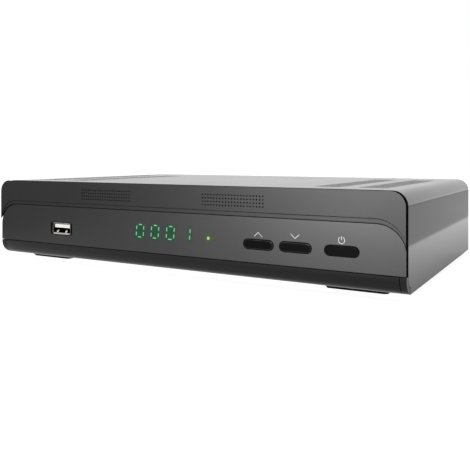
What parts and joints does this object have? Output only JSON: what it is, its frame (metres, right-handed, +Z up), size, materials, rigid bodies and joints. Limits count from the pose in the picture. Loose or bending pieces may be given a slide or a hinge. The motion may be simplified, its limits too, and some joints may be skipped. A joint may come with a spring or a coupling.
{
  "type": "satellite tv receiver",
  "caption": "Slim satellite television receiver with a hooded moulded front, pill keys, a digit display, a slotted steel cover, and aerial, video, audio and mains sockets at the rear.",
  "frame": {"origin": "bottom centre of the bounding box: under the feet, midway across and midway between the front face and the tips of the aerial sockets", "axes": "+X to the viewer's right when facing the front, +Y back from the front face, +Z up"},
  "size_m": [0.24, 0.16, 0.0458],
  "materials": {
    "cover_paint": "satin dark grey powder paint",
    "chassis_zinc": "zinc plated sheet",
    "screw_zinc": "zinc plated",
    "front_plastic": "dark grey semi-gloss moulding",
    "lens_plastic": "smoked semi-gloss moulding",
    "key_plastic": "black gloss",
    "black_plastic": "black moulding",
    "rocker_plastic": "black moulding",
    "white_plastic": "off-white moulding",
    "orange_plastic": "orange moulding",
    "foot_rubber": "matte black",
    "board_green": "solder mask",
    "board_tan": "bare laminate",
    "clear_sheet": "insulating film",
    "winding_yellow": "taped winding and ferrite",
    "sleeve_black": "shrunk sleeve",
    "ribbon_grey": "flat cable",
    "aluminium": "extruded",
    "bright_metal": "nickel plated"
  },
  "bodies": {
    "case": {"top_cover": "cover_paint", "base_chassis": "chassis_zinc", "cover_screw_left": "screw_zinc", "cover_screw_middle": "screw_zinc", "cover_screw_right": "screw_zinc", "front_bezel": "front_plastic", "fascia_lens": "lens_plastic", "display_spacer": "black_plastic", "ir_receiver": "black_plastic", "tact_switch_up": "black_plastic", "tact_switch_down": "black_plastic", "tact_switch_power": "black_plastic", "main_processor": "black_plastic", "memory_chip": "black_plastic", "euro_av_socket_tv": "black_plastic", "euro_av_socket_recorder": "black_plastic", "digital_av_tongue": "black_plastic", "mains_inlet": "black_plastic", "power_switch_frame": "black_plastic", "display_module": "white_plastic", "status_light_pipe": "white_plastic", "status_light": "white_plastic", "usb_tongue": "white_plastic", "ribbon_socket_front": "white_plastic", "ribbon_socket_main": "white_plastic", "digital_audio_socket": "orange_plastic", "foot_front_left": "foot_rubber", "foot_front_right": "foot_rubber", "foot_rear_left": "foot_rubber", "foot_rear_right": "foot_rubber", "front_board": "board_green", "main_board": "board_green", "power_board": "board_tan", "insulating_sheet": "clear_sheet", "transformer": "winding_yellow", "bulk_capacitor": "sleeve_black", "output_capacitor_front": "sleeve_black", "output_capacitor_rear": "sleeve_black", "switch_lead": "sleeve_black", "front_ribbon": "ribbon_grey", "power_lead": "ribbon_grey", "processor_heat_sink": "aluminium", "power_heat_sink": "aluminium", "tuner_can": "bright_metal", "usb_shell": "bright_metal", "digital_av_shell": "bright_metal", "aerial_in_socket": "bright_metal", "aerial_out_socket": "bright_metal", "aerial_in_nut": "bright_metal", "aerial_out_nut": "bright_metal", "mains_pin_left": "bright_metal", "mains_pin_right": "bright_metal"},
    "up_key": {"key_up": "key_plastic", "key_plunger_up": "white_plastic"},
    "down_key": {"key_down": "key_plastic", "key_plunger_down": "white_plastic"},
    "power_key": {"key_power": "key_plastic", "key_plunger_power": "white_plastic"},
    "rocker": {"power_rocker": "rocker_plastic"}
  },
  "joints": [
    {"name": "up_key_press", "type": "slide", "parent": "case", "child": "up_key", "axis": [0, 1, 0], "range_m": [0, 0.0005], "stiffness_N_per_m": 1500},
    {"name": "down_key_press", "type": "slide", "parent": "case", "child": "down_key", "axis": [0, 1, 0], "range_m": [0, 0.0005], "stiffness_N_per_m": 1500},
    {"name": "power_key_press", "type": "slide", "parent": "case", "child": "power_key", "axis": [0, 1, 0], "range_m": [0, 0.0005], "stiffness_N_per_m": 1500},
    {"name": "rocker_tilt", "type": "hinge", "parent": "case", "child": "rocker", "pos_m": [-0.08052, 0.0665, 0.02515], "axis": [1, 0, 0], "range_deg": [0, 24]}
  ]
}
